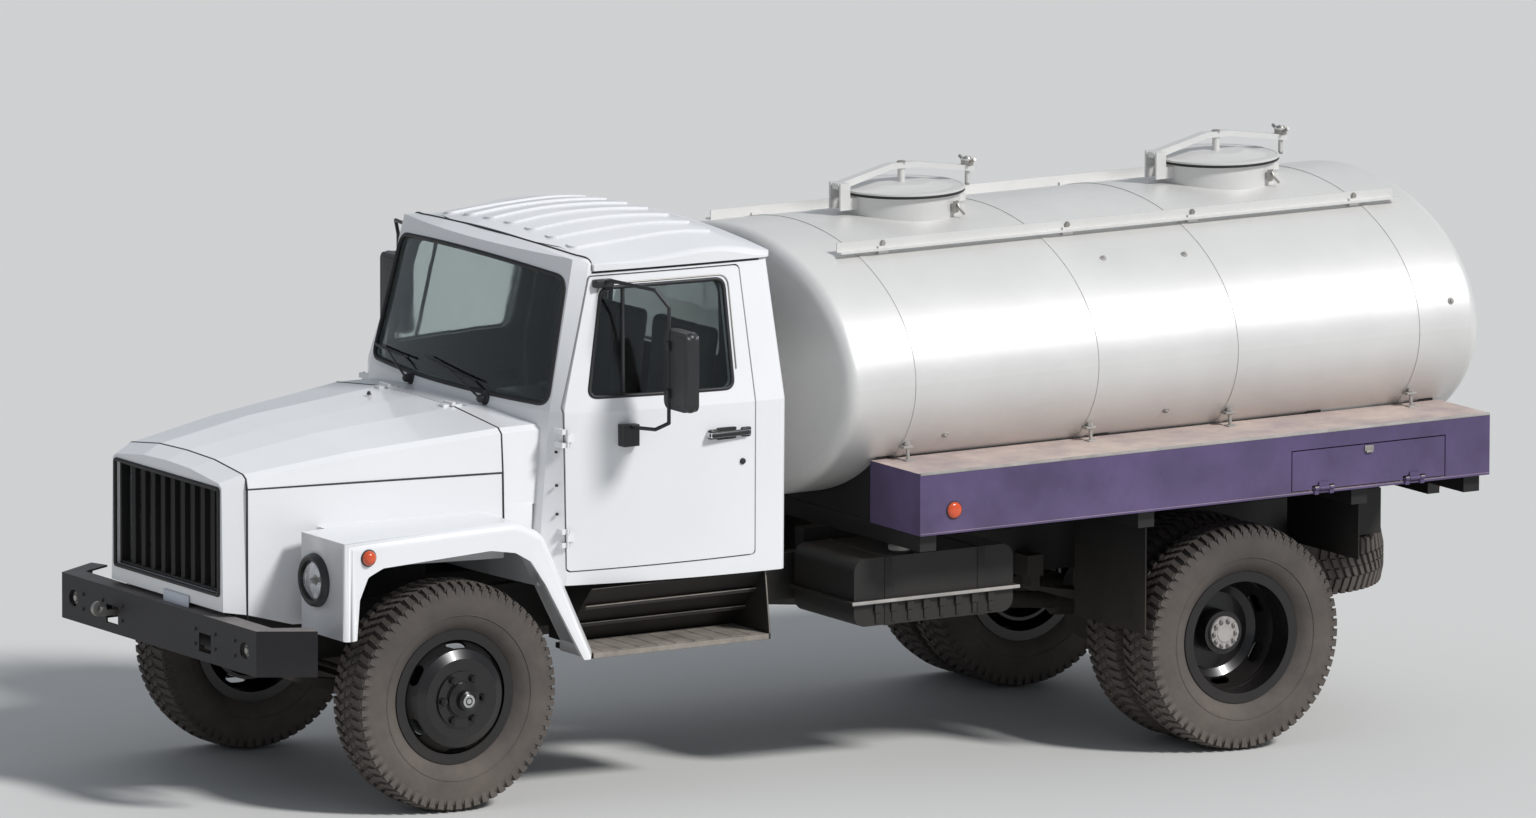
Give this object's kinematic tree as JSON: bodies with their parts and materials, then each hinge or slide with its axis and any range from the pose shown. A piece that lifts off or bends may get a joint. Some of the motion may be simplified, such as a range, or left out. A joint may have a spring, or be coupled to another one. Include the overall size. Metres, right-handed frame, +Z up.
{
  "type": "milk tanker truck",
  "caption": "Two-axle tank truck with a bonneted cab, an elliptic tank with hinged manhole lids, side lockers, opening doors and hood, steering and rolling wheels.",
  "frame": {"origin": "on the ground under the centre of the bounding box", "axes": "+X forward, +Y to the left side, +Z up"},
  "size_m": [6.091, 2.47, 2.4721],
  "materials": {
    "cab_white": "gloss",
    "tank_white": "satin",
    "skirt_purple": "satin",
    "chassis_black": "satin",
    "grille_black": "matt",
    "running_gear": "dusty",
    "rim_black": "satin",
    "tyre": "dusty",
    "rubber_flap": "matt",
    "glass": "clear",
    "interior": "matt",
    "mirror_black": "matt",
    "lamps": "gloss"
  },
  "bodies": {
    "chassis": {"frame_rails": "chassis_black", "frame_crossmembers": "chassis_black", "front_bumper": "chassis_black", "tow_hook": "chassis_black", "engine": "chassis_black", "front_panel": "cab_white", "grille": "grille_black", "front_fenders": "cab_white", "cab_front": "cab_white", "cab_sides": "cab_white", "cab_back": "cab_white", "cab_roof": "cab_white", "cab_floor": "interior", "cab_glass": "glass", "seats": "interior", "dashboard": "interior", "side_steps": "chassis_black", "fuel_tank": "chassis_black", "battery_box": "chassis_black", "exhaust": "running_gear", "front_axle": "running_gear", "rear_axle": "running_gear", "leaf_springs": "running_gear", "spare_wheel": "tyre", "tank_shell": "tank_white", "tank_cradle": "chassis_black", "top_rails": "tank_white", "side_boxes": "skirt_purple", "tail_bar": "chassis_black", "mudguards": "rubber_flap", "lamps": "lamps"},
    "knuckle_left": {"knuckle_left": "running_gear"},
    "knuckle_right": {"knuckle_right": "running_gear"},
    "tie_rod": {"tie_rod": "running_gear"},
    "wheel_front_left": {"rim_front_left": "rim_black", "tyre_front_left": "tyre"},
    "wheel_front_right": {"rim_front_right": "rim_black", "tyre_front_right": "tyre"},
    "wheels_rear_left": {"rim_rear_left": "rim_black", "tyre_rear_left": "tyre"},
    "wheels_rear_right": {"rim_rear_right": "rim_black", "tyre_rear_right": "tyre"},
    "door_left": {"door_left": "cab_white", "door_glass_left": "glass", "mirror_left": "mirror_black"},
    "door_right": {"door_right": "cab_white", "door_glass_right": "glass", "mirror_right": "mirror_black"},
    "hood": {"hood": "cab_white"},
    "lid_front": {"lid_front": "tank_white"},
    "lid_rear": {"lid_rear": "tank_white"},
    "locker_left": {"locker_left": "skirt_purple"},
    "locker_right": {"locker_right": "skirt_purple"}
  },
  "joints": [
    {"name": "steer_left", "type": "hinge", "parent": "chassis", "child": "knuckle_left", "pos_m": [2.06484, 0.7, 0.482], "axis": [0.0231, 0, 0.9997], "range_deg": [-30, 30]},
    {"name": "steer_right", "type": "hinge", "parent": "chassis", "child": "knuckle_right", "pos_m": [2.06484, -0.7, 0.482], "axis": [0.0231, 0, 0.9997], "range_deg": [-30, 30]},
    {"name": "tie_rod_pivot", "type": "hinge", "parent": "knuckle_left", "child": "tie_rod", "pos_m": [1.88292, 0.7, 0.40118], "axis": [0.0231, 0, 0.9997], "range_deg": [-30, 30]},
    {"name": "spin_front_left", "type": "hinge", "parent": "knuckle_left", "child": "wheel_front_left", "pos_m": [2.06484, 0.809, 0.482], "axis": [0, 1, 0], "continuous": true},
    {"name": "spin_front_right", "type": "hinge", "parent": "knuckle_right", "child": "wheel_front_right", "pos_m": [2.06484, -0.809, 0.482], "axis": [0, 1, 0], "continuous": true},
    {"name": "spin_rear_left", "type": "hinge", "parent": "chassis", "child": "wheels_rear_left", "pos_m": [-1.70616, 0.845, 0.482], "axis": [0, 1, 0], "continuous": true},
    {"name": "spin_rear_right", "type": "hinge", "parent": "chassis", "child": "wheels_rear_right", "pos_m": [-1.70616, -0.845, 0.482], "axis": [0, 1, 0], "continuous": true},
    {"name": "door_left_hinge", "type": "hinge", "parent": "chassis", "child": "door_left", "pos_m": [1.48879, 0.822, 1.09345], "axis": [-0.0231, 0, -0.9997], "range_deg": [0, 68]},
    {"name": "door_right_hinge", "type": "hinge", "parent": "chassis", "child": "door_right", "pos_m": [1.48879, -0.822, 1.09345], "axis": [0.0231, 0, 0.9997], "range_deg": [0, 68]},
    {"name": "hood_hinge", "type": "hinge", "parent": "chassis", "child": "hood", "pos_m": [1.73445, 0, 1.59592], "axis": [0, -1, 0], "range_deg": [0, 50]},
    {"name": "lid_front_hinge", "type": "hinge", "parent": "chassis", "child": "lid_front", "pos_m": [-0.31681, 0, 2.34544], "axis": [0, 1, 0], "range_deg": [0, 100]},
    {"name": "lid_rear_hinge", "type": "hinge", "parent": "chassis", "child": "lid_rear", "pos_m": [-1.90438, 0, 2.38208], "axis": [0, 1, 0], "range_deg": [0, 100]},
    {"name": "locker_left_hinge", "type": "hinge", "parent": "chassis", "child": "locker_left", "pos_m": [-2.25046, 1.198, 1.12573], "axis": [-0.9997, 0, 0.0231], "range_deg": [0, 100]},
    {"name": "locker_right_hinge", "type": "hinge", "parent": "chassis", "child": "locker_right", "pos_m": [-2.25046, -1.198, 1.12573], "axis": [0.9997, 0, -0.0231], "range_deg": [0, 100]}
  ],
  "couplings": [
    {"joint": "steer_right", "follows": "steer_left", "ratio": 1},
    {"joint": "tie_rod_pivot", "follows": "steer_left", "ratio": -1}
  ]
}
